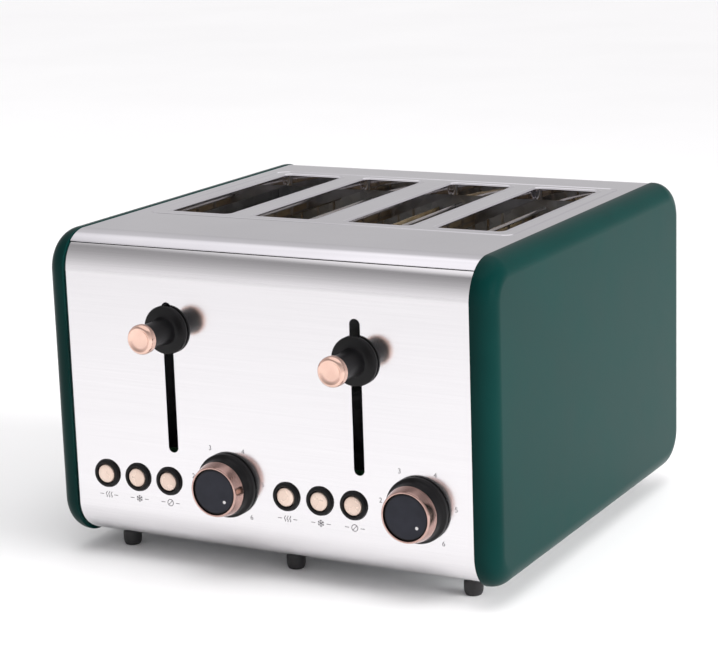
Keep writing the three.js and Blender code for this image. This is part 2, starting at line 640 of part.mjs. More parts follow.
// Circuit board behind the panel, with the dial's switch, three push switches and posts to the panel.
function controlBoard(side) {
  const face = -FACE_Y;
  const front = face + 19;
  const board = box([-57, 57], [front, front + 1.6], [40, 71]);
  const overlap = front + 0.5;
  const potBody = bar('y', 8.5, [face + 11, overlap], [DIAL_X, DIAL_Z]);
  const potBush = bar('y', 3.6, [face - 0.2, face + 12], [DIAL_X, DIAL_Z]);
  const potShaft = bar('y', 3, [face - 9.5, face], [DIAL_X, DIAL_Z]);
  const switches = BUTTON_X.flatMap((x) => [
    box([x - 3, x + 3], [face + 15, overlap], [BUTTON_Z - 3, BUTTON_Z + 3]),
    bar('y', 1.75, [face + 9.4, face + 16], [x, BUTTON_Z], 10),
  ]);
  const posts = [[-54, 42.4], [54, 42.4], [15, 68]].map(([x, z]) =>
    bar('y', 2.4, [face + SHEET + FIT, overlap], [x, z], 10));
  const body = join(board, potBody, potBush, potShaft, ...switches, ...posts);
  return piece(side + '_control_board', body, BOARD_GREEN);
}

// ---------------------------------------------------------------- crumb tray

function crumbTray({ side, x }) {
  const floorEnd = LOW_ROLL_Y + 13.5;
  const inner = TRAY_HALF_X - 1;
  const pan = cut(
    box([-TRAY_HALF_X, TRAY_HALF_X], [TRAY_FRONT_Y, floorEnd], [TRAY_LOW_Z, TRAY_TOP_Z]),
    box([-inner, inner], [TRAY_FRONT_Y + 1, floorEnd + 2], [TRAY_LOW_Z + 1, TRAY_TOP_Z + 1]));
  const doorBlank = box([-TRAY_DOOR_HALF_X, TRAY_DOOR_HALF_X], [PANEL_LIP_Y + 1, FACE_Y + 1],
    [TRAY_DOOR_LOW_Z, TRAY_DOOR_TOP_Z]);
  const door = panelSheet().rotate([0, 0, 180]).intersect(doorBlank);
  const pull = box([-18, 18], [FACE_Y - 1, TRAY_PULL_Y], [TRAY_DOOR_TOP_Z - 3.4, TRAY_DOOR_TOP_Z - 1.4]);
  const mesh = piece(side + '_crumb_tray', join(pan, door, pull), GALVANISED);
  mesh.position.x = x;
  return mesh;
}

// ---------------------------------------------------------------- assembly

function half(spec) {
  const { side, leverZ } = spec;
  const group = new THREE.Group();
  group.position.x = spec.x;
  const [outward, inward] = side === 'left' ? [BOARD_X[0], BOARD_X[2]] : [BOARD_X[2], BOARD_X[0]];
  group.add(carriage(spec), guideRod(side), liftSpring(side, leverZ), latchMagnet(side));
  group.add(breadGuide(side + '_rightward_bread_guide', 1, leverZ));
  group.add(breadGuide(side + '_leftward_bread_guide', -1, leverZ));
  group.add(heatingBoard(side + '_outer_heating_board', outward));
  group.add(heatingBoard(side + '_middle_heating_board', BOARD_X[1]));
  group.add(heatingBoard(side + '_inner_heating_board', inward));
  group.add(buttonFrame(side), dialKnob(side), dialRing(side), controlBoard(side));
  ['reheat', 'defrost', 'cancel'].forEach((use, i) => {
    group.add(button(`${side}_${use}_button`, BUTTON_X[i]));
  });
  return group;
}

const toaster = new THREE.Group();
toaster.position.y = CENTRE_SHIFT;
toaster.add(frontPanel(), rearPanel(), topPlate(), endCover('left'), endCover('right'));
toaster.add(basePlate(), ...feet(), cordInlet(), terminalBlock());
toaster.add(frontBulkhead(), rearBulkhead(), sidePlate('left', -1), sidePlate('right', 1));
toaster.add(...SIDES.map(half), ...SIDES.map(crumbTray));

export default toaster;
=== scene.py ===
import json
import math

import bmesh
import bpy
from mathutils import Matrix, Vector


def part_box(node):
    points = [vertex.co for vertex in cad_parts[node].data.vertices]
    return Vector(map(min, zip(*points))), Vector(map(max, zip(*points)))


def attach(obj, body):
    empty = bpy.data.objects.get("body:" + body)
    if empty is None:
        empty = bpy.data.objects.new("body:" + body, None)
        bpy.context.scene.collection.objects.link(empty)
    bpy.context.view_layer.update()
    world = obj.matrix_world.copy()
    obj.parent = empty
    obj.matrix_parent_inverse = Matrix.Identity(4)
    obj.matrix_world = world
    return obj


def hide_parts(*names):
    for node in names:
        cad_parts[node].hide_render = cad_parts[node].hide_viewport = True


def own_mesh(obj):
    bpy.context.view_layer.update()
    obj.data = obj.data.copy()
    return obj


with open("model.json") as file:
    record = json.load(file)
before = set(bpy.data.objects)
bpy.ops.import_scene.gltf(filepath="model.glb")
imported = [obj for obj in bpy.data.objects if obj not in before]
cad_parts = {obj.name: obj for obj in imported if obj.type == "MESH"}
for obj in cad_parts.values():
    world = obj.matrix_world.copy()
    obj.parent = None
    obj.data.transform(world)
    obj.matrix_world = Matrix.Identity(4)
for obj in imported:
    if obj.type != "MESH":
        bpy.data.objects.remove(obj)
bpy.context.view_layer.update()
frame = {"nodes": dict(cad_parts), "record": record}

# Four-slot pop-up toaster. Metres, +Z up, the front faces -Y.

# ---------------------------------------------------------------- places and sizes

OPENINGS = {each["name"]: each["box_m"] for each in frame["record"]["physics"]["openings"]}
SIDES = ("left", "right")

FRONT_LOW, FRONT_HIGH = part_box("front_panel")
REAR_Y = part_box("rear_panel")[1].y
FACE_Y = FRONT_LOW.y
MID_Y = (FACE_Y + REAR_Y) / 2
PANEL_X = FRONT_HIGH.x
LIP_Y = FRONT_HIGH.y

SHEET = 0.0008
TOP_ROLL = 0.023                     # radius where the front turns into the top
LOW_ROLL = 0.022                     # radius where the front turns under
SEAM = math.radians(48)              # how far up the top roll the front panel ends
SEAM_GAP = math.radians(1)
PLATE_PROUD = 0.0006                 # the top plate stands this far off the panels
RIM_RISE = 0.0004
PLATE_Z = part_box("top_plate")[1].z - RIM_RISE
ROLL_Z = PLATE_Z - PLATE_PROUD - TOP_ROLL
LOW_ROLL_Z = FRONT_LOW.z + LOW_ROLL

SLOT_HALF = 0.022                    # half the width of a bread slot
GROOVE_X = 0.127                     # half the width of the pressed groove round the slots
GROOVE_MARGIN = 0.010                # from the slots' ends to the groove

LEVER_SLOT = (0.0746, 0.1673)        # its lowest and highest point
LEVER_SLOT_HALF = 0.0034
COLLAR_HOLE = 0.00895                # in the panel, round a button's collar
COLLAR_R = 0.00865
COLLAR_BORE = 0.0062
BUTTON_R = 0.0058
STRIP_WALL = 0.0018

DIAL_BORE = 0.0036
DIAL_BORE_DEPTH = 0.010
DIAL_FACE_R = 0.0137
RING_BORE = 0.0140

COVER_DEPTH = 0.0138
COVER_CORNER = 0.0245
COVER_EDGE = 0.0125
COVER_WALL = 0.0022

MERGE = 1e-6                         # points closer than this are one


def middle(node):
    """The centre of a CAD node's box."""
    low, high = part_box(node)
    return (low + high) / 2


def slot_box(side, place):
    """(centre x, front y, rear y) of a bread slot."""
    low, high = OPENINGS[f"{side}_{place}_bread_slot"]
    return (low[0] + high[0]) / 2, low[1] - 0.001, high[1] + 0.001


# ---------------------------------------------------------------- outlines

def arc(centre, radius, start, end, steps):
    """Points of an arc in a plane, with angles in degrees."""
    turns = [math.radians(start + (end - start) * i / steps) for i in range(steps + 1)]
    return [(centre[0] + radius * math.cos(t), centre[1] + radius * math.sin(t)) for t in turns]


def rounded(u0, u1, v0, v1, radius, steps=8):
    """A rounded rectangle, anticlockwise."""
    corners = ((u1, v1, 0), (u0, v1, 90), (u0, v0, 180), (u1, v0, 270))
    points = []
    for u, v, start in corners:
        centre = (u - math.copysign(radius, u - (u0 + u1) / 2),
                  v - math.copysign(radius, v - (v0 + v1) / 2))
        points += arc(centre, radius, start, start + 90, steps)
    return points


def disc(centre, radius, steps=48):
    return arc(centre, radius, 0, 360, steps)[:-1]


def standing(points, y):
    return [(u, y, v) for u, v in points]


def lying(points, z):
    return [(u, v, z) for u, v in points]


def loop(bm, points):
    """A closed ring of edges."""
    verts = [bm.verts.new(p) for p in points]
    return [bm.edges.new(pair) for pair in zip(verts, verts[1:] + verts[:1])]


def skin(bm, loops):
    """Bridges each ring of edges to the next one."""
    for first, second in zip(loops, loops[1:]):
        bmesh.ops.bridge_loops(bm, edges=first + second)


def once(parts):
    """Each part once, in the order of its first place."""
    return list(dict.fromkeys(parts))


def fill(bm, edges):
    """Fills a flat outline round the holes in it, with as few faces as it can."""
    made = bmesh.ops.triangle_fill(bm, use_beauty=True, edges=edges)["geom"]
    faces = [part for part in made if isinstance(part, bmesh.types.BMFace)]
    inner = [e for e in once(e for f in faces for e in f.edges) if len(e.link_faces) == 2]
    bmesh.ops.dissolve_limit(bm, angle_limit=0.001, use_dissolve_boundaries=False, verts=[], edges=inner)


def face_towards(bm, direction):
    """Makes an open sheet's faces agree, with the largest one facing along the direction."""
    bmesh.ops.recalc_face_normals(bm, faces=bm.faces)
    bm.normal_update()
    largest = max(bm.faces, key=lambda f: f.calc_area())
    if largest.normal.dot(Vector(direction)) < 0:
        bmesh.ops.reverse_faces(bm, faces=bm.faces)


def outwards(bm):
    """Merges doubled vertices of a closed shape and points its faces outwards."""
    bmesh.ops.remove_doubles(bm, verts=bm.verts, dist=MERGE)
    bmesh.ops.recalc_face_normals(bm, faces=bm.faces)
    return bm


def revolved(points, centre, axis, steps):
    """Turns a line of points right round an axis through the centre."""
    bm = bmesh.new()
    verts = [bm.verts.new(p) for p in points]
    edges = [bm.edges.new(pair) for pair in zip(verts, verts[1:])]
    bmesh.ops.spin(bm, geom=verts + edges, cent=centre, axis=axis, angle=math.tau,
                   steps=steps, use_merge=True)
    return outwards(bm)


def turned(profile, centre, steps=72):
    """Turns (radius, y) points about the line along Y through centre (x, z)."""
    x, z = centre
    return revolved([(x + r, y, z) for r, y in profile], (x, 0, z), (0, 1, 0), steps)


def upright(profile, centre, steps=48):
    """Turns (radius, z) points about the vertical line through centre (x, y)."""
    x, y = centre
    return revolved([(x + r, y, z) for r, z in profile], (x, y, 0), (0, 0, 1), steps)


def block(bm, low, high):
    """Adds a box between two corners."""
    size = [b - a for a, b in zip(low, high)]
    place = Matrix.Translation([(a + b) / 2 for a, b in zip(low, high)])
    bmesh.ops.create_cube(bm, size=1, matrix=place @ Matrix.Diagonal((*size, 1)))


def wire(bm, points, radius, resolution=2):
    """Adds a round wire with closed ends through the points."""
    curve = bpy.data.curves.new("wire", "CURVE")
    curve.dimensions = "3D"
    curve.bevel_depth = radius
    curve.bevel_resolution = resolution
    curve.use_fill_caps = True
    spline = curve.splines.new("POLY")
    spline.points.add(len(points) - 1)
    for point, place in zip(spline.points, points):
        point.co = (*place, 1)
    holder = bpy.data.objects.new("wire", curve)
    mesh = bpy.data.meshes.new_from_object(holder)
    bm.from_mesh(mesh)
    bpy.data.objects.remove(holder)
    bpy.data.curves.remove(curve)
    bpy.data.meshes.remove(mesh)


def piece(name, bm, body, look, stands_for=(), wall=0.0, bevel=0.0, segments=3, crease=30,
          even_wall=True):
    """Makes the finished object: wall thickness inwards, rounded edges, even normals."""
    mesh = bpy.data.meshes.new(name)
    bm.to_mesh(mesh)
    bm.free()
    mesh.materials.append(look)
    mesh.shade_smooth()
    if not (wall or bevel):
        mesh.set_sharp_from_angle(angle=math.radians(crease))
    made = bpy.data.objects.new(name, mesh)
    bpy.context.scene.collection.objects.link(made)
    if wall:
        thicken = made.modifiers.new("wall", "SOLIDIFY")
        thicken.thickness = wall
        thicken.offset = -1
        thicken.use_even_offset = even_wall
    if bevel:
        soften = made.modifiers.new("edges", "BEVEL")
        soften.width = bevel
        soften.segments = segments
        soften.limit_method = "ANGLE"
        soften.angle_limit = math.radians(crease)
    even = made.modifiers.new("even normals", "WEIGHTED_NORMAL")
    even.keep_sharp = True
    even.weight = 90
    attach(made, body)
    if stands_for:
        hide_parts(*stands_for)
    return made


# ---------------------------------------------------------------- material nodes

def finish(name, colour, metallic=0.0, roughness=0.5, **constants):
    """A shader with its constant values set on its own sockets."""
    look = bpy.data.materials.new(name)
    look.use_nodes = True
    shader = look.node_tree.nodes["Principled BSDF"]
    shader.inputs["Base Color"].default_value = (*colour, 1)
    shader.inputs["Metallic"].default_value = metallic
    shader.inputs["Roughness"].default_value = roughness
    for socket, value in constants.items():
        shader.inputs[socket.replace("_", " ")].default_value = value
    return look


def node(look, kind, **inputs):
    made = look.node_tree.nodes.new(kind)
    for socket, value in inputs.items():
        made.inputs[socket.replace("_", " ")].default_value = value
    return made


def link(look, output, target):
    look.node_tree.links.new(output, target)


def shader_input(look, socket):
    return look.node_tree.nodes["Principled BSDF"].inputs[socket]


def coordinates(look, scale=(1, 1, 1)):
    """Object coordinates, stretched by a scale per axis."""
    source = node(look, "ShaderNodeTexCoord")
    mapping = node(look, "ShaderNodeMapping", Scale=scale)
    link(look, source.outputs["Object"], mapping.inputs["Vector"])
    return mapping.outputs["Vector"]


def noise(look, scale, stretch=(1, 1, 1), detail=3.0):
    made = node(look, "ShaderNodeTexNoise", Scale=scale, Detail=detail, Roughness=0.5)
    link(look, coordinates(look, stretch), made.inputs["Vector"])
    return made.outputs["Fac"]


def cells(look, scale, stretch=(1, 1, 1), output="Distance"):
    made = node(look, "ShaderNodeTexVoronoi", Scale=scale)
    link(look, coordinates(look, stretch), made.inputs["Vector"])
    return made.outputs[output]


def remap(look, value, low, high, out_low, out_high):
    made = node(look, "ShaderNodeMapRange")
    for index, number in enumerate((low, high, out_low, out_high), start=1):
        made.inputs[index].default_value = number
    link(look, value, made.inputs[0])
    return made.outputs[0]


def tint(look, value, stops):
    """Base colour from a value through (position, colour) stops."""
    ramp = node(look, "ShaderNodeValToRGB")
    ends = ramp.color_ramp.elements
    for index, (position, colour) in enumerate(stops):
        stop = ends[index] if index < 2 else ends.new(position)
        stop.position = position
        stop.color = (*colour, 1)
    link(look, value, ramp.inputs["Fac"])
    link(look, ramp.outputs["Color"], shader_input(look, "Base Color"))


def uneven_gloss(look, value, low, high):
    link(look, remap(look, value, 0.3, 0.7, low, high), shader_input(look, "Roughness"))


def relief(look, *layers):
    """Bumps from (value, strength, depth) layers, one over another."""
    below = None
    for value, strength, depth in layers:
        bump = node(look, "ShaderNodeBump", Strength=strength, Distance=depth)
        link(look, value, bump.inputs["Height"])
        if below:
            link(look, below, bump.inputs["Normal"])
        below = bump.outputs["Normal"]
    link(look, below, shader_input(look, "Normal"))


# ---------------------------------------------------------------- finishes

def brushed_front_steel():
    look = finish("brushed_front_steel", (0.76, 0.745, 0.76), metallic=1.0, roughness=0.13)
    grain = noise(look, 1.0, stretch=(14, 2600, 2600), detail=2.0)
    fine = noise(look, 1.0, stretch=(60, 9000, 9000), detail=1.0)
    smears = noise(look, 9.0, detail=4.0)
    tint(look, grain, [(0.3, (0.74, 0.725, 0.74)), (0.7, (0.78, 0.765, 0.78))])
    uneven_gloss(look, smears, 0.10, 0.17)
    relief(look, (grain, 0.025, 0.0002), (fine, 0.03, 0.0001))
    return look


def mirror_top_steel():
    look = finish("mirror_top_steel", (0.80, 0.79, 0.80), metallic=1.0, roughness=0.05)
    haze = noise(look, 14.0, detail=5.0)
    ripple = noise(look, 5.0, detail=1.0)
    tint(look, haze, [(0.3, (0.765, 0.75, 0.785)), (0.7, (0.825, 0.81, 0.845))])
    uneven_gloss(look, haze, 0.035, 0.085)
    relief(look, (ripple, 0.12, 0.002))
    return look


def green_gloss_paint():
    look = finish("green_gloss_paint", (0.001, 0.019, 0.017), roughness=0.3, Specular_IOR_Level=0.04,
                  Coat_Weight=0.06, Coat_Roughness=0.06, Coat_IOR=1.4)
    cloud = noise(look, 20.0, detail=4.0)
    peel = noise(look, 420.0, detail=2.0)
    tint(look, cloud, [(0.3, (0.0008, 0.019, 0.0170)), (0.7, (0.0012, 0.023, 0.0205))])
    uneven_gloss(look, cloud, 0.28, 0.36)
    relief(look, (peel, 0.06, 0.0002))
    return look


def rose_gold_plating(name, dark, light):
    look = finish(name, light, metallic=1.0, roughness=0.16)
    lathe = noise(look, 1.0, stretch=(700, 6000, 700), detail=2.0)
    haze = noise(look, 160.0, detail=3.0)
    tint(look, haze, [(0.3, dark), (0.7, light)])
    uneven_gloss(look, haze, 0.12, 0.20)
    relief(look, (lathe, 0.05, 0.0001))
    return look


def satin_black():
    look = finish("satin_black", (0.004, 0.0038, 0.0045), roughness=0.34, Specular_IOR_Level=0.2)
    grain = noise(look, 1500.0, detail=2.0)
    wear = noise(look, 60.0, detail=4.0)
    tint(look, wear, [(0.35, (0.003, 0.003, 0.0035)), (0.7, (0.006, 0.0055, 0.006))])
    uneven_gloss(look, wear, 0.28, 0.40)
    relief(look, (grain, 0.08, 0.0001))
    return look


def dial_face_lacquer():
    look = finish("dial_face_lacquer", (0.010, 0.011, 0.019), roughness=0.2, Specular_IOR_Level=0.25)
    cloud = noise(look, 120.0, detail=3.0)
    tint(look, cloud, [(0.3, (0.008, 0.009, 0.016)), (0.7, (0.013, 0.014, 0.023))])
    uneven_gloss(look, cloud, 0.16, 0.24)
    return look


def champagne_caps():
    look = finish("champagne_caps", (0.80, 0.62, 0.52), metallic=0.25, roughness=0.28,
                  Coat_Weight=0.5, Coat_Roughness=0.08)
    flake = cells(look, 2600.0, output="Color")
    cloud = noise(look, 90.0, detail=3.0)
    tint(look, cloud, [(0.3, (0.77, 0.59, 0.49)), (0.7, (0.84, 0.67, 0.57))])
    uneven_gloss(look, cloud, 0.24, 0.32)
    relief(look, (flake, 0.03, 0.0001))
    return look


def foot_rubber():
    look = finish("foot_rubber", (0.011, 0.011, 0.012), roughness=0.6)
    grain = noise(look, 1800.0, detail=3.0)
    dust = noise(look, 240.0, detail=5.0)
    tint(look, dust, [(0.4, (0.008, 0.008, 0.009)), (0.8, (0.024, 0.022, 0.022))])
    uneven_gloss(look, dust, 0.48, 0.68)
    relief(look, (grain, 0.15, 0.0001))
    return look


def zinc_sheet():
    look = finish("zinc_sheet", (0.52, 0.53, 0.54), metallic=1.0, roughness=0.4)
    spangle = cells(look, 160.0, output="Color")
    wear = noise(look, 30.0, detail=6.0)
    tint(look, spangle, [(0.0, (0.42, 0.43, 0.45)), (1.0, (0.60, 0.61, 0.62))])
    uneven_gloss(look, wear, 0.32, 0.5)
    relief(look, (wear, 0.06, 0.0004))
    return look


def drawn_wire():
    look = finish("drawn_wire", (0.50, 0.49, 0.48), metallic=1.0, roughness=0.28)
    heat = noise(look, 45.0, detail=4.0)
    tint(look, heat, [(0.3, (0.40, 0.36, 0.33)), (0.7, (0.60, 0.59, 0.58))])
    uneven_gloss(look, heat, 0.22, 0.38)
    return look


def mica_board():
    look = finish("mica_board", (0.40, 0.30, 0.18), roughness=0.5, Sheen_Weight=0.1)
    flakes = cells(look, 300.0, stretch=(1, 1, 0.6), output="Color")
    cloud = noise(look, 60.0, detail=6.0)
    tint(look, cloud, [(0.3, (0.26, 0.18, 0.10)), (0.55, (0.42, 0.32, 0.19)), (0.8, (0.52, 0.42, 0.28))])
    uneven_gloss(look, flakes, 0.34, 0.6)
    relief(look, (flakes, 0.2, 0.0002))
    return look


def heating_ribbon():
    look = finish("heating_ribbon", (0.34, 0.31, 0.29), metallic=1.0, roughness=0.42)
    oxide = noise(look, 130.0, detail=4.0)
    tint(look, oxide, [(0.3, (0.20, 0.17, 0.16)), (0.7, (0.42, 0.38, 0.35))])
    uneven_gloss(look, oxide, 0.32, 0.52)
    return look


def circuit_lacquer():
    look = finish("circuit_lacquer", (0.03, 0.13, 0.05), roughness=0.3, Coat_Weight=0.4, Coat_Roughness=0.1)
    tracks = cells(look, 260.0, output="Distance")
    tint(look, tracks, [(0.25, (0.02, 0.10, 0.04)), (0.5, (0.05, 0.19, 0.08))])
    uneven_gloss(look, tracks, 0.24, 0.36)
    return look


def magnet_winding():
    look = finish("magnet_winding", (0.50, 0.22, 0.10), metallic=0.8, roughness=0.3)
    turns = node(look, "ShaderNodeTexWave", Scale=520.0, Distortion=0.4)
    turns.bands_direction = "Z"
    link(look, coordinates(look), turns.inputs["Vector"])
    tint(look, turns.outputs["Fac"], [(0.0, (0.30, 0.12, 0.05)), (1.0, (0.58, 0.27, 0.13))])
    uneven_gloss(look, turns.outputs["Fac"], 0.25, 0.4)
    relief(look, (turns.outputs["Fac"], 0.4, 0.0003))
    return look


def terminal_nylon():
    look = finish("terminal_nylon", (0.70, 0.64, 0.54), roughness=0.45)
    cloud = noise(look, 140.0, detail=4.0)
    tint(look, cloud, [(0.3, (0.66, 0.60, 0.50)), (0.7, (0.74, 0.68, 0.58))])
    uneven_gloss(look, cloud, 0.38, 0.52)
    return look


def screen_print(name, dark, light):
    look = finish(name, dark, roughness=0.55)
    ink = noise(look, 900.0, detail=3.0)
    tint(look, ink, [(0.3, dark), (0.75, light)])
    uneven_gloss(look, ink, 0.48, 0.62)
    return look


FRONT_STEEL = brushed_front_steel()
TOP_STEEL = mirror_top_steel()
PAINT = green_gloss_paint()
CAP_GOLD = rose_gold_plating("rose_gold_cap_plating", (0.78, 0.52, 0.43), (0.86, 0.60, 0.50))
RING_GOLD = rose_gold_plating("rose_gold_ring_plating", (0.50, 0.32, 0.28), (0.62, 0.42, 0.37))
BLACK = satin_black()
DIAL_LACQUER = dial_face_lacquer()
CHAMPAGNE = champagne_caps()
RUBBER = foot_rubber()
ZINC = zinc_sheet()
WIRE = drawn_wire()
MICA = mica_board()
RIBBON = heating_ribbon()
CIRCUIT = circuit_lacquer()
WINDING = magnet_winding()
NYLON = terminal_nylon()
PANEL_INK = screen_print("grey_panel_ink", (0.16, 0.15, 0.16), (0.24, 0.23, 0.24))
POINTER_INK = screen_print("pale_pointer_ink", (0.62, 0.60, 0.60), (0.74, 0.72, 0.72))


# ---------------------------------------------------------------- casing

def folded_sheet(holes):
    """The front panel's surface: flat face with its holes, roll up to the seam, roll under and lip."""
    bm = bmesh.new()
    edges = loop(bm, standing([(-PANEL_X, LOW_ROLL_Z), (PANEL_X, LOW_ROLL_Z),
                               (PANEL_X, ROLL_Z), (-PANEL_X, ROLL_Z)], FACE_Y))
    lower, upper = edges[0], edges[2]
    hole_edges = [edge for hole in holes for edge in loop(bm, standing(hole, FACE_Y))]
    fill(bm, edges + hole_edges)
    bmesh.ops.spin(bm, geom=[*upper.verts, upper], cent=(0, FACE_Y + TOP_ROLL, ROLL_Z),
                   axis=(1, 0, 0), angle=-SEAM, steps=20)
    under = bmesh.ops.spin(bm, geom=[*lower.verts, lower], cent=(0, FACE_Y + LOW_ROLL, LOW_ROLL_Z),
                           axis=(1, 0, 0), angle=math.pi / 2, steps=24)
    lip = [part for part in under["geom_last"] if isinstance(part, bmesh.types.BMEdge)]
    grown = bmesh.ops.extrude_edge_only(bm, edges=lip)["geom"]
    bmesh.ops.translate(bm, verts=[v for v in grown if isinstance(v, bmesh.types.BMVert)],
                        vec=(0, LIP_Y - FACE_Y - LOW_ROLL, 0))
    bmesh.ops.remove_doubles(bm, verts=bm.verts, dist=MERGE)
    face_towards(bm, (0, -1, 0))
    return bm


def rear_sheet(holes):
    bm = folded_sheet(holes)
    bmesh.ops.rotate(bm, verts=bm.verts, cent=(0, MID_Y, 0), matrix=Matrix.Rotation(math.pi, 3, "Z"))
    return bm


def slice_at(bm, faces, place, direction):
    geometry = once(part for f in faces for part in (f, *f.edges, *f.verts))
    bmesh.ops.bisect_plane(bm, geom=geometry, plane_co=place, plane_no=direction)


def low_faces(bm):
    return [f for f in bm.faces if f.calc_center_median().z < LOW_ROLL_Z - 1e-5]


def slice_low_roll(bm, xs, zs):
    """Cuts the sheet below its flat face along upright and level lines."""
    for x in xs:
        slice_at(bm, low_faces(bm), (x, 0, 0), (1, 0, 0))
    for z in zs:
        slice_at(bm, low_faces(bm), (0, 0, z), (0, 0, 1))


def lever_hole(side):
    x = middle(f"{side}_lever_handle").x
    low, high = LEVER_SLOT
    return rounded(x - LEVER_SLOT_HALF, x + LEVER_SLOT_HALF, low, high, LEVER_SLOT_HALF, 10)


BUTTONS = ("reheat", "defrost", "cancel")


def button_centre(side, use):
    centre = middle(f"{side}_{use}_button")
    return centre.x, centre.z


def front_panel():
    holes = []
    for side in SIDES:
        dial = middle(f"{side}_dial_knob")
        holes += [lever_hole(side), disc((dial.x, dial.z), 0.004, 24)]
        holes += [disc(button_centre(side, use), COLLAR_HOLE) for use in BUTTONS]
    piece("steel_front_panel", folded_sheet(holes), "casing", FRONT_STEEL,
          ["front_panel"], wall=SHEET, bevel=0.00022, segments=2)


def tray_door(side):
    """(left, right, low, high) of a crumb tray's door."""
    low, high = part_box(f"{side}_crumb_tray")
    return low.x, high.x, low.z, high.z


def rear_panel():
    cord_z = middle("cord_inlet").z
    bm = rear_sheet([disc((0, cord_z), 0.0063)])
    gap = 0.0005
    doors = [tray_door(side) for side in SIDES]
    slice_low_roll(bm, [x for d in doors for x in (d[0] - gap, d[1] + gap)],
                   [doors[0][2] - gap, doors[0][3] + gap])
    gone = [f for f in bm.faces for d in doors if inside_door(f, d, gap)]
    bmesh.ops.delete(bm, geom=gone, context="FACES")
    piece("steel_rear_panel", bm, "casing", FRONT_STEEL,
          ["rear_panel"], wall=SHEET, bevel=0.00022, segments=2)


def inside_door(face, door, gap):
    centre = face.calc_center_median()
    left, right, low, high = door
    return left - gap < centre.x < right + gap and low - gap < centre.z < high + gap


def slot_loops(bm, centre, front, rear):
    """Rings that rise over a bread slot's rim and go down its wall; the first is on the plate."""
    steps = [(0.0031, 0), (0.0026, 0.00005), (0.0019, 0.00028), (0.0012, RIM_RISE), (0.0006, 0.00028),
             (0.0002, -0.0002), (0, -0.0009), (0, -0.008)]
    return [loop(bm, lying(rounded(centre - SLOT_HALF - grow, centre + SLOT_HALF + grow,
                                   front - grow, rear + grow, 0.004 + grow, 8), PLATE_Z + rise))
            for grow, rise in steps]


def groove_loops(bm):
    """Rings across the pressed groove round the four slots, from its outer edge to its inner one."""
    _, front, rear = slot_box("left", "outer")
    steps = [(0, 0), (0.0003, -0.00045), (0.0008, -0.0009),
             (0.0014, -0.00094), (0.0019, -0.00045), (0.0022, 0)]
    return [loop(bm, lying(rounded(-GROOVE_X + shrink, GROOVE_X - shrink, front - GROOVE_MARGIN + shrink,
                                   rear + GROOVE_MARGIN - shrink, 0.008 - shrink, 10), PLATE_Z + rise))
            for shrink, rise in steps]


def top_plate():
    bm = bmesh.new()
    roll = TOP_ROLL + PLATE_PROUD
    front, rear = FACE_Y + TOP_ROLL, REAR_Y - TOP_ROLL
    edges = loop(bm, lying([(-PANEL_X, front), (PANEL_X, front),
                            (PANEL_X, rear), (-PANEL_X, rear)], PLATE_Z))
    front_edge, rear_edge = edges[0], edges[2]
    groove = groove_loops(bm)
    slots = [slot_loops(bm, *slot_box(side, place)) for side in SIDES for place in ("outer", "inner")]
    fill(bm, edges + groove[0])
    fill(bm, groove[-1] + [e for rings in slots for e in rings[0]])
    skin(bm, groove)
    for rings in slots:
        skin(bm, rings)
    turn = math.pi / 2 - SEAM - SEAM_GAP
    for edge, y, sign in ((front_edge, front, 1), (rear_edge, rear, -1)):
        bmesh.ops.spin(bm, geom=[*edge.verts, edge], cent=(0, y, PLATE_Z - roll), axis=(1, 0, 0),
                       angle=sign * turn, steps=20)
    bmesh.ops.remove_doubles(bm, verts=bm.verts, dist=MERGE)
    face_towards(bm, (0, 0, 1))
    piece("steel_top_plate", bm, "casing", TOP_STEEL, ["top_plate"],
          wall=SHEET, bevel=0.0002, segments=2, crease=50, even_wall=False)


def end_cover(side):
    """A dished cover: rounded slab outline, outer edge rounded over, open towards the casing."""
    low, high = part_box(f"{side}_end_cover")
    outer_x, rim_x = (low.x, low.x + COVER_DEPTH) if side == "left" else (high.x, high.x - COVER_DEPTH)
    bm = bmesh.new()
    corners = rounded(low.y, high.y, low.z, high.z, COVER_CORNER, 20)
    rim = loop(bm, [(rim_x, y, z) for y, z in corners])
    rim_face = bmesh.ops.contextual_create(bm, geom=rim)["faces"][0]
    shell = bmesh.ops.extrude_face_region(bm, geom=[rim_face])["geom"]
    moved = [v for v in shell if isinstance(v, bmesh.types.BMVert)]
    bmesh.ops.translate(bm, verts=moved, vec=(outer_x - rim_x, 0, 0))
    bm.edges.ensure_lookup_table()
    outer_edges = [e for e in bm.edges if all(abs(v.co.x - outer_x) < MERGE for v in e.verts)]
    bmesh.ops.bevel(bm, geom=outer_edges, offset=COVER_EDGE, offset_type="OFFSET", affect="EDGES",
                    segments=14, profile=0.5, material=-1, clamp_overlap=False)
    open_side = [f for f in bm.faces if all(abs(v.co.x - rim_x) < MERGE for v in f.verts)]
    bmesh.ops.delete(bm, geom=open_side, context="FACES")
    face_towards(bm, (outer_x - rim_x, 0, 0))
    piece(f"{side}_painted_cover", bm, "casing", PAINT, [f"{side}_end_cover"],
          wall=COVER_WALL, bevel=0.0004, segments=3, crease=50)


# ---------------------------------------------------------------- levers

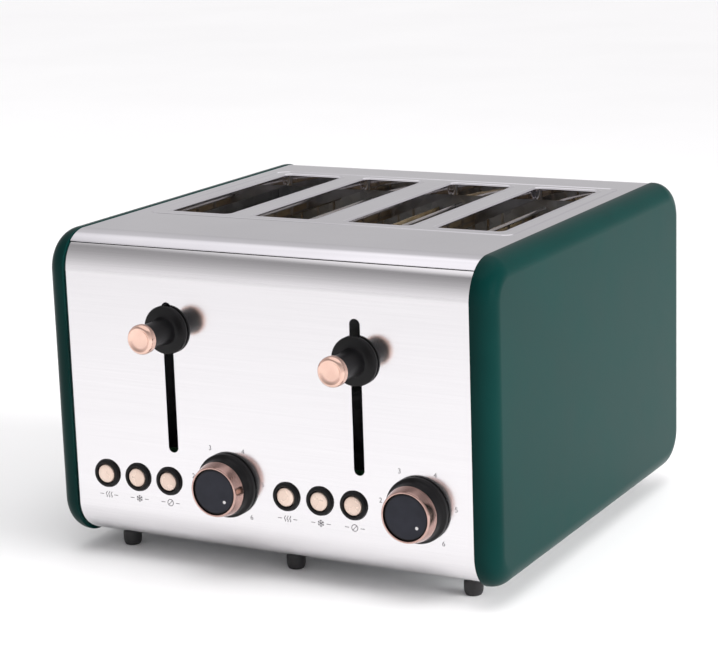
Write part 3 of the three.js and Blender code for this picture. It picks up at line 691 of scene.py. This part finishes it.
def lever(side):
    low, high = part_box(f"{side}_lever_handle")
    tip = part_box(f"{side}_lever_cap")[0].y
    centre = (middle(f"{side}_lever_handle").x, middle(f"{side}_lever_handle").z)
    back = FACE_Y - 0.0006
    front = back - 0.003
    radius = (high.x - low.x) / 2
    handle = [(0, low.y), (0.0074, low.y), (0.0078, low.y + 0.0004), (0.0076, (low.y + front) / 2),
              (0.0079, front - 0.0022), (0.0086, front - 0.0008), (0.0102, front),
              (radius - 0.0016, front + 0.0001), (radius - 0.0006, front + 0.0005),
              (radius, front + 0.0014), (radius, back - 0.0004), (radius - 0.0004, back), (0, back)]
    piece(f"{side}_lever_grip", turned(handle, centre), f"{side}_carriage", BLACK,
          [f"{side}_lever_handle"])
    cap = [(0, tip + 0.0010), (0.0046, tip + 0.0010), (0.0054, tip + 0.0009), (0.0060, tip + 0.0006),
           (0.0066, tip + 0.0002), (0.0071, tip), (0.0077, tip + 0.0002), (0.0083, tip + 0.0008),
           (0.0087, tip + 0.0015), (0.0090, tip + 0.0026), (0.0090, low.y - 0.0008),
           (0.0087, low.y - 0.0004), (0, low.y - 0.0004)]
    piece(f"{side}_lever_end_cap", turned(cap, centre), f"{side}_carriage", CAP_GOLD,
          [f"{side}_lever_cap"])


# ---------------------------------------------------------------- buttons

def button_set(side):
    face, front = FACE_Y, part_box(f"{side}_button_frame")[0].y
    for use in BUTTONS:
        centre = button_centre(side, use)
        collar = [(COLLAR_BORE, face + 0.0010), (COLLAR_BORE, front + 0.0009), (0.0064, front + 0.0004),
                  (0.0069, front), (0.0076, front), (0.0082, front + 0.0003), (0.0086, front + 0.0009),
                  (COLLAR_R, front + 0.0016), (COLLAR_R, face + 0.0010), (COLLAR_BORE, face + 0.0010)]
        stands = [f"{side}_button_frame"] if use == "reheat" else ()
        piece(f"{side}_{use}_collar", turned(collar, centre, 56), "casing", BLACK, stands)
        low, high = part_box(f"{side}_{use}_button")
        cap = [(0, low.y), (0.0028, low.y + 0.00005), (0.0043, low.y + 0.0002), (0.0051, low.y + 0.0005),
               (0.0056, low.y + 0.0010), (BUTTON_R, low.y + 0.0018), (BUTTON_R, high.y), (0, high.y)]
        piece(f"{side}_{use}_cap", turned(cap, centre, 56), f"{side}_{use}", CHAMPAGNE,
              [f"{side}_{use}_button"])


def button_backing(side):
    """The moulded strip behind the panel that carries the three collars."""
    low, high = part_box(f"{side}_button_frame")
    bm = bmesh.new()
    front = high.y - STRIP_WALL
    outer = loop(bm, standing(rounded(low.x, high.x, low.z, high.z, 0.002, 4), front))
    holes = [e for use in BUTTONS
             for e in loop(bm, standing(disc(button_centre(side, use), COLLAR_BORE), front))]
    fill(bm, outer + holes)
    face_towards(bm, (0, -1, 0))
    piece(f"{side}_button_strip", bm, "casing", BLACK,
          wall=STRIP_WALL, bevel=0.0002, segments=2)


# ---------------------------------------------------------------- browning dials

def dial(side):
    low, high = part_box(f"{side}_dial_knob")
    ring_low, ring_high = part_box(f"{side}_dial_ring")
    centre = (middle(f"{side}_dial_knob").x, middle(f"{side}_dial_knob").z)
    back, face, front = high.y, low.y, ring_low.y
    skirt, trim = (high.x - low.x) / 2, (ring_high.x - ring_low.x) / 2
    shoulder = ring_high.y + 0.0003
    bore_end = back - DIAL_BORE_DEPTH
    body = [(DIAL_BORE, back), (skirt - 0.0005, back), (skirt, back - 0.0005), (skirt, back - 0.0026),
            (skirt - 0.0003, back - 0.0033), (skirt - 0.0008, back - 0.0038),
            (skirt - 0.0015, back - 0.0042), (skirt - 0.0020, back - 0.0048),
            (trim + 0.0004, back - 0.0066), (trim + 0.0001, shoulder + 0.0006),
            (trim - 0.0002, shoulder), (DIAL_FACE_R, shoulder), (DIAL_FACE_R, face + 0.0003),
            (0.0134, face), (0, face), (0, bore_end), (DIAL_BORE, bore_end), (DIAL_BORE, back)]
    piece(f"{side}_dial_body", turned(body, centre, 96), f"{side}_dial", BLACK,
          [f"{side}_dial_knob"])
    inlay = [(0, face - 0.0002), (0.0122, face - 0.0002), (0.0128, face - 0.0001),
             (0.0130, face), (0, face)]
    piece(f"{side}_dial_inlay", turned(inlay, centre, 96), f"{side}_dial", DIAL_LACQUER)
    ring = [(RING_BORE, front + 0.0005), (0.0142, front + 0.0001), (0.0147, front), (0.0152, front + 0.0003),
            (0.0155, front + 0.0010), (trim - 0.0001, ring_high.y - 0.0010), (trim, ring_high.y - 0.0004),
            (trim - 0.0003, ring_high.y), (RING_BORE, ring_high.y), (RING_BORE, front + 0.0005)]
    piece(f"{side}_dial_trim", turned(ring, centre, 96), f"{side}_dial", RING_GOLD,
          [f"{side}_dial_ring"])
    dot = (centre[0] + 0.0069, centre[1] - 0.0056)
    mark = [(0, face - 0.00032), (0.00085, face - 0.00032), (0.00100, face - 0.0002), (0, face - 0.0002)]
    piece(f"{side}_dial_pointer", turned(mark, dot, 24), f"{side}_dial", POINTER_INK)


# ---------------------------------------------------------------- printed marks

MARK_Y = FACE_Y - 0.00004
STROKE = 0.00045                     # width of an icon's lines
NUMBER_RING = 0.0243                 # radius of the ring of numbers round a dial
NUMBER_HEIGHT = 0.0031
FIRST_NUMBER = -140                  # degrees from the top, clockwise
NUMBER_STEP = 56


def printed_number(number, centre, height):
    """A thin layer of ink in the shape of a digit."""
    curve = bpy.data.curves.new("digit", "FONT")
    curve.body = str(number)
    curve.size = height / 0.72
    curve.align_x = "CENTER"
    curve.align_y = "CENTER"
    curve.extrude = 0.00003
    holder = bpy.data.objects.new("digit", curve)
    mesh = bpy.data.meshes.new_from_object(holder)
    bm = bmesh.new()
    bm.from_mesh(mesh)
    bpy.data.objects.remove(holder)
    bpy.data.curves.remove(curve)
    bpy.data.meshes.remove(mesh)
    bmesh.ops.rotate(bm, verts=bm.verts, cent=(0, 0, 0), matrix=Matrix.Rotation(math.pi / 2, 3, "X"))
    bmesh.ops.translate(bm, verts=bm.verts, vec=(centre[0], MARK_Y, centre[1]))
    return bm


def dial_scale(side):
    centre = middle(f"{side}_dial_knob")
    for number in range(1, 7):
        angle = math.radians(FIRST_NUMBER + NUMBER_STEP * (number - 1))
        spot = (centre.x + NUMBER_RING * math.sin(angle), centre.z + NUMBER_RING * math.cos(angle))
        piece(f"{side}_dial_number_{number}", outwards(printed_number(number, spot, NUMBER_HEIGHT)),
              "casing", PANEL_INK)


def bar_mark(bm, start, end, width):
    """A thin straight stroke on the panel between two (x, z) points."""
    a, b = Vector((start[0], 0, start[1])), Vector((end[0], 0, end[1]))
    along = (b - a).normalized()
    across = along.cross(Vector((0, 1, 0)))
    turn = Matrix((along, Vector((0, 1, 0)), across)).transposed().to_4x4()
    turn.translation = Vector(((a.x + b.x) / 2, MARK_Y, (a.z + b.z) / 2))
    size = Matrix.Diagonal(((b - a).length, 0.00006, width, 1))
    bmesh.ops.create_cube(bm, size=1, matrix=turn @ size)


def reheat_icon(bm, x, z):
    for shift in (-0.0018, 0, 0.0018):
        points = [(x + shift + 0.0004 * math.sin(i * math.tau / 6), z - 0.0019 + 0.0038 * i / 8)
                  for i in range(9)]
        for start, end in zip(points, points[1:]):
            bar_mark(bm, start, end, STROKE)


def defrost_icon(bm, x, z):
    for angle in (90, 30, 150):
        turn = math.radians(angle)
        reach = Vector((math.cos(turn), math.sin(turn))) * 0.0022
        bar_mark(bm, (x - reach.x, z - reach.y), (x + reach.x, z + reach.y), 0.00042)
        for sign in (-1, 1):
            knot = Vector((x, z)) + reach * 0.55 * sign
            for lean in (-45, 45):
                tip = turn + math.radians(lean) + (0 if sign > 0 else math.pi)
                end = (knot.x + 0.0009 * math.cos(tip), knot.y + 0.0009 * math.sin(tip))
                bar_mark(bm, knot, end, 0.0004)


def cancel_icon(bm, x, z):
    points = disc((x, z), 0.0020, 24)
    for start, end in zip(points, points[1:] + points[:1]):
        bar_mark(bm, start, end, STROKE)
    reach = 0.0014
    bar_mark(bm, (x - reach, z - reach), (x + reach, z + reach), STROKE)


ICONS = {"reheat": reheat_icon, "defrost": defrost_icon, "cancel": cancel_icon}
ICON_DROP = 0.0137


def button_icons(side):
    for use, draw in ICONS.items():
        x, z = button_centre(side, use)
        bm = bmesh.new()
        draw(bm, x, z - ICON_DROP)
        for sign in (-1, 1):
            bar_mark(bm, (x + sign * 0.0038, z - ICON_DROP), (x + sign * 0.0066, z - ICON_DROP), 0.0004)
        piece(f"{side}_{use}_icon", bm, "casing", PANEL_INK)


# ---------------------------------------------------------------- feet and rear fittings

def foot(name):
    centre = middle(name)
    radius = (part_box(name)[1].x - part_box(name)[0].x) / 2
    top = FRONT_LOW.z
    profile = [(0, 0), (0.0040, 0), (0.0047, 0.0003), (0.0054, 0.0016), (radius, 0.0034),
               (radius, 0.0074), (0.0055, 0.0090), (0.0045, 0.0106), (0.0034, 0.0118),
               (0.0027, 0.0126), (0.0024, top - 0.0002), (0.0024, top + 0.0012),
               (0.0036, top + 0.0012), (0, top + 0.0036)]
    piece(f"{name}_moulding", upright(profile, (centre.x, centre.y)), "casing", RUBBER, [name])


def cord_inlet():
    low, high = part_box("cord_inlet")
    centre = (middle("cord_inlet").x, middle("cord_inlet").z)
    y = REAR_Y
    bore = [(0.0036, low.y + 0.0005), (0.0041, low.y), (0.0058, low.y), (0.0079, low.y + 0.0022),
            (0.0080, y - SHEET - 0.0003), (0.0060, y - SHEET - 0.0003), (0.0060, y + 0.0003),
            (0.0088, y + 0.0003), (0.0090, y + 0.0008), (0.0088, y + 0.0020), (0.0078, y + 0.0032),
            (0.0064, high.y), (0.0046, high.y), (0.0036, high.y - 0.0010), (0.0036, low.y + 0.0005)]
    piece("cord_grommet", turned(bore, centre, 64), "casing", BLACK, ["cord_inlet"])


SCREW_R = 0.0030
SCREW_RISE = 0.0012
SCREW_X = 0.125
SCREW_HEIGHTS = (0.050, 0.165)


def screw_head(bm, x, z):
    """Adds a shallow head, marked with a cross, on the rear panel."""
    place = Matrix.Translation((x, REAR_Y + SCREW_RISE / 2, z)) @ Matrix.Rotation(math.pi / 2, 4, "X")
    made = bmesh.ops.create_cone(bm, cap_ends=True, segments=28, radius1=SCREW_R, radius2=SCREW_R,
                                 depth=SCREW_RISE, matrix=place)
    crown = [e for e in bm.edges if all(v in made["verts"] and v.co.y > REAR_Y + 0.001 for v in e.verts)]
    bmesh.ops.bevel(bm, geom=crown, offset=0.0006, offset_type="OFFSET", affect="EDGES", segments=3,
                    profile=0.5, material=-1)
    for size in ((0.0032, 0.0002, 0.0007), (0.0007, 0.0002, 0.0032)):
        low = (x - size[0] / 2, REAR_Y + 0.00112, z - size[2] / 2)
        block(bm, low, (low[0] + size[0], low[1] + size[1], low[2] + size[2]))


def rear_screws():
    bm = bmesh.new()
    for x in (-SCREW_X, SCREW_X):
        for z in SCREW_HEIGHTS:
            screw_head(bm, x, z)
    piece("rear_screws", bm, "casing", ZINC, crease=40)


# ---------------------------------------------------------------- crumb trays

def crumb_tray(side):
    left, right, low, high = tray_door(side)
    door = rear_sheet([])
    slice_low_roll(door, [left, right], [low, high])
    others = [f for f in door.faces if not inside_door(f, (left, right, low, high), 0)]
    bmesh.ops.delete(door, geom=others, context="FACES")
    piece(f"{side}_tray_door", door, f"{side}_tray", FRONT_STEEL, [f"{side}_crumb_tray"],
          wall=SHEET, bevel=0.0002, segments=2)
    tray_low, tray_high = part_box(f"{side}_crumb_tray")
    pan = bmesh.new()
    block(pan, (left + 0.0015, tray_low.y, low + 0.0019), (right - 0.0015, REAR_Y - 0.0095, high - 0.0044))
    lid = [f for f in pan.faces if f.normal.z > 0.9]
    bmesh.ops.delete(pan, geom=lid, context="FACES")
    face_towards(pan, (0, 0, -1))
    piece(f"{side}_tray_pan", pan, f"{side}_tray", ZINC,
          wall=SHEET, bevel=0.0006, segments=3)
    pull = bmesh.new()
    centre = (left + right) / 2
    rim = rounded(centre - 0.018, centre + 0.018, REAR_Y - 0.0006, tray_high.y, 0.0024, 6)
    bmesh.ops.contextual_create(pull, geom=loop(pull, lying(rim, high - 0.0014)))
    face_towards(pull, (0, 0, 1))
    piece(f"{side}_tray_pull", pull, f"{side}_tray", FRONT_STEEL, wall=0.002, bevel=0.0006)


# ---------------------------------------------------------------- bread guides, boards and springs

def bread_guide(side, direction):
    """Two grids of upright wires tied by cross bars below the boards."""
    name = f"{side}_{direction}_bread_guide"
    low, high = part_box(name)
    rail, thin = 0.0012, 0.0009
    grids = (low.x + rail, high.x - rail)
    z_low, z_high, bar_z = low.z + 0.0039, high.z - rail, low.z + 0.0009
    _, front, rear = slot_box(side, "outer")
    ends = (front - 0.002, rear + 0.004) if direction == "rightward" else (front + 0.002, rear)
    bm = bmesh.new()
    for x in grids:
        wire(bm, [(x, low.y, z_low), (x, high.y, z_low)], rail)
        wire(bm, [(x, ends[0], z_high), (x, ends[1], z_high)], rail)
        for i in range(7):
            y = front + 0.009 + i * (rear - front - 0.018) / 6
            wire(bm, [(x, y, z_low), (x, y, z_high)], thin)
        for y in ends:
            wire(bm, [(x, y, z_low), (x, y, bar_z)], thin)
    for y in ends:
        wire(bm, [(grids[0], y, bar_z), (grids[1], y, bar_z)], thin)
    piece(f"{side}_{direction}_wire_guide", outwards(bm), f"{side}_{direction}_guide",
          WIRE, [name])


RIBBON_TURNS = 19
BOARD_TABS = (0.072, 0.166)          # heights of the tabs that hold a board


def heating_board(side, place):
    """Mica board with notched edges and flat ribbon wound round it."""
    name = f"{side}_{place}_heating_board"
    low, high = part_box(name)
    bm = bmesh.new()
    block(bm, (low.x, low.y + 0.0035, low.z), (high.x, high.y - 0.0035, high.z))
    for z in BOARD_TABS:
        block(bm, (low.x, low.y, z - 0.004), (high.x, high.y, z + 0.004))
    piece(f"{side}_{place}_mica_board", bm, "casing", MICA, [name], bevel=0.0001, segments=1)
    turns = bmesh.new()
    pitch = (high.z - low.z - 0.014) / (RIBBON_TURNS - 1)
    for i in range(RIBBON_TURNS):
        z = low.z + 0.007 + i * pitch
        for x in (low.x - 0.00012, high.x + 0.00002):
            block(turns, (x, low.y + 0.0036, z - 0.0007), (x + 0.0001, high.y - 0.0036, z + 0.0007))
    piece(f"{side}_{place}_heating_ribbon", turns, "casing", RIBBON)


def lift_spring(side):
    low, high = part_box(f"{side}_lift_spring")
    centre = (low + high) / 2
    thick = 0.0007
    coil = (high.x - low.x) / 2 - thick
    turns, parts = 14, 16
    points = []
    for i in range(turns * parts + 1):
        share = i / (turns * parts)
        angle = math.tau * turns * share
        height = low.z + thick + (high.z - low.z - 2 * thick) * share
        points.append((centre.x + coil * math.cos(angle), centre.y + coil * math.sin(angle), height))
    bm = bmesh.new()
    wire(bm, points, thick * 0.9, 1)
    made = piece(f"{side}_coil_spring", outwards(bm), "casing", WIRE,
                 [f"{side}_lift_spring"])
    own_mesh(made)


# ---------------------------------------------------------------- CAD nodes that stay

def plain_nodes():
    looks = {"base_plate": ZINC, "front_bulkhead": ZINC, "rear_bulkhead": ZINC, "left_side_plate": ZINC,
             "right_side_plate": ZINC, "mains_terminal_block": NYLON}
    for side in SIDES:
        looks |= {f"{side}_lift_slider": ZINC, f"{side}_outer_bread_rack": ZINC,
                  f"{side}_inner_bread_rack": ZINC, f"{side}_guide_rod": TOP_STEEL,
                  f"{side}_latch_magnet": WINDING, f"{side}_control_board": CIRCUIT}
    for name, look in looks.items():
        mesh = frame["nodes"][name].data
        mesh.materials.clear()
        mesh.materials.append(look)


# ---------------------------------------------------------------- stage

def floor():
    look = finish("pale_floor", (0.93, 0.93, 0.93), roughness=0.9)
    cloud = noise(look, 3.0)
    tint(look, cloud, [(0.3, (0.92, 0.92, 0.92)), (0.7, (0.94, 0.94, 0.94))])
    bm = bmesh.new()
    bmesh.ops.create_grid(bm, x_segments=1, y_segments=1, size=12)
    mesh = bpy.data.meshes.new("floor")
    bm.to_mesh(mesh)
    bm.free()
    mesh.materials.append(look)
    made = bpy.data.objects.new("floor", mesh)
    bpy.context.scene.collection.objects.link(made)


def softbox(name, place, target, width, height, power):
    """A rectangular light that doesn't show in reflections."""
    light = bpy.data.lights.new(name, "AREA")
    light.shape = "RECTANGLE"
    light.size = width
    light.size_y = height
    light.energy = power
    light.spread = math.radians(50)
    made = bpy.data.objects.new(name, light)
    bpy.context.scene.collection.objects.link(made)
    made.location = place
    made.rotation_euler = (Vector(target) - Vector(place)).to_track_quat("-Z", "Y").to_euler()
    made.visible_glossy = False


def shade_ramp(tree, value, shades):
    ramp = tree.nodes.new("ShaderNodeValToRGB")
    for index, (position, level) in enumerate(shades):
        stops = ramp.color_ramp.elements
        stop = stops[index] if index < 2 else stops.new(position)
        stop.position = position
        stop.color = (level, level * 0.985, level, 1)
    tree.links.new(value, ramp.inputs["Fac"])
    return ramp.outputs["Color"]


def sky():
    """Studio surround: bright low down in front, darker high in front, a bright ceiling, greyer behind."""
    world = bpy.data.worlds.new("studio")
    world.use_nodes = True
    tree = world.node_tree
    source = tree.nodes.new("ShaderNodeTexCoord")
    split = tree.nodes.new("ShaderNodeSeparateXYZ")
    tree.links.new(source.outputs["Generated"], split.inputs[0])
    height = split.outputs["Z"]
    ahead = shade_ramp(tree, height, [(0.0, 1.0), (0.12, 0.90), (0.45, 0.62), (0.80, 0.34), (0.88, 1.15)])
    behind = shade_ramp(tree, height, [(0.0, 0.62), (0.25, 0.52), (0.66, 0.66), (0.80, 1.25), (0.97, 1.1)])
    depth = tree.nodes.new("ShaderNodeMapRange")
    for index, number in enumerate((-0.25, 0.45, 0, 1), start=1):
        depth.inputs[index].default_value = number
    tree.links.new(split.outputs["Y"], depth.inputs[0])
    mix = tree.nodes.new("ShaderNodeMix")
    mix.data_type = "RGBA"
    tree.links.new(depth.outputs[0], mix.inputs[0])
    tree.links.new(ahead, mix.inputs[6])
    tree.links.new(behind, mix.inputs[7])
    tree.links.new(mix.outputs[2], tree.nodes["Background"].inputs["Color"])
    bpy.context.scene.world = world


def lights():
    """Both lights stay out of reflections, which show the surround and the floor."""
    target = (0, MID_Y, 0.1)
    softbox("right_side", (2.6, 0.1, 0.55), target, width=2.0, height=1.6, power=24)
    sun = bpy.data.lights.new("high_soft_light", "SUN")
    sun.energy = 0.85
    sun.angle = math.radians(40)
    made = bpy.data.objects.new("high_soft_light", sun)
    bpy.context.scene.collection.objects.link(made)
    made.rotation_euler = Vector((0.15, -0.25, 0.95)).to_track_quat("Z", "Y").to_euler()
    made.visible_glossy = False


def camera():
    azimuth, down, roll = (math.radians(a) for a in (28.65, 13.01, -1.92))
    ahead = Vector((-math.sin(azimuth) * math.cos(down), math.cos(azimuth) * math.cos(down),
                    -math.sin(down)))
    level = Vector((math.cos(azimuth), math.sin(azimuth), 0))
    up = level.cross(ahead)
    across = math.cos(roll) * level + math.sin(roll) * up
    above = math.cos(roll) * up - math.sin(roll) * level
    data = bpy.data.cameras.new("camera")
    data.sensor_width = 36
    data.lens = 110.78
    made = bpy.data.objects.new("camera", data)
    bpy.context.scene.collection.objects.link(made)
    turn = Matrix((across, above, -ahead)).transposed().to_4x4()
    turn.translation = Vector((0.65077, MID_Y - 1.21748, 0.44498))
    made.matrix_world = turn
    bpy.context.scene.camera = made


# ---------------------------------------------------------------- assembly

def build():
    front_panel()
    rear_panel()
    top_plate()
    for side in SIDES:
        end_cover(side)
        lever(side)
        button_set(side)
        button_backing(side)
        dial(side)
        dial_scale(side)
        button_icons(side)
        crumb_tray(side)
        for direction in ("rightward", "leftward"):
            bread_guide(side, direction)
        for place in ("outer", "middle", "inner"):
            heating_board(side, place)
        lift_spring(side)
    for row in ("front", "rear"):
        for column in ("left", "middle", "right"):
            foot(f"{row}_{column}_foot")
    cord_inlet()
    rear_screws()
    plain_nodes()
    floor()
    sky()
    lights()
    camera()
    bpy.context.scene.view_settings.view_transform = "Standard"


build()
